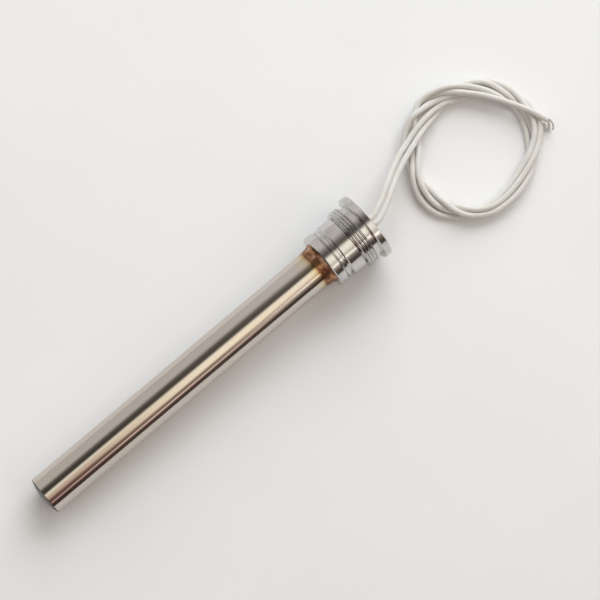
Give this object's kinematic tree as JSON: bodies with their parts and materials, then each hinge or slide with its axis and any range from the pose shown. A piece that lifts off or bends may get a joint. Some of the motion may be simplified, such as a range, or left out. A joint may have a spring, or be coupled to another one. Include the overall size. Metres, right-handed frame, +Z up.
{
  "type": "cartridge heater",
  "caption": "Cartridge heater: polished steel sheath brazed into a turned threaded fitting with a flange, with braided leads in a loose coil",
  "frame": {"origin": "on the surface the heater lies on, below the middle of the heater's box without its leads", "axes": "+X along the heater from the tip to the flange, +Z up, +Y to the left when looking along +X"},
  "size_m": [0.1914, 0.0452, 0.022],
  "materials": {
    "polished_steel": "polished stainless steel with heat colours next to the brazed joint",
    "turned_steel": "fine turned stainless steel",
    "braze": "rough copper-brown brazing metal",
    "ceramic": "unglazed ceramic",
    "packed_powder": "packed magnesia",
    "heating_wire": "drawn wire",
    "pin_steel": "drawn rod",
    "crimp_metal": "plain tube",
    "potting": "matt cement",
    "braid": "white woven glass fibre",
    "bare_strand": "plated fine strands"
  },
  "bodies": {
    "root": {"sheath_tube": "polished_steel", "end_cap": "polished_steel", "threaded_fitting": "turned_steel", "braze_joint": "braze", "ceramic_core": "ceramic", "resistance_coil": "heating_wire", "magnesia_fill": "packed_powder", "tip_insulator": "ceramic", "head_insulator": "ceramic", "terminal_pin_1": "pin_steel", "terminal_pin_2": "pin_steel", "crimp_sleeve_1": "crimp_metal", "crimp_sleeve_2": "crimp_metal", "potting_seal": "potting", "lead_1_run": "braid", "lead_2_run": "braid", "lead_coil": "braid", "lead_1_tail": "braid", "lead_2_tail": "braid", "lead_1_strands": "bare_strand", "lead_2_strands": "bare_strand"}
  },
  "joints": []
}
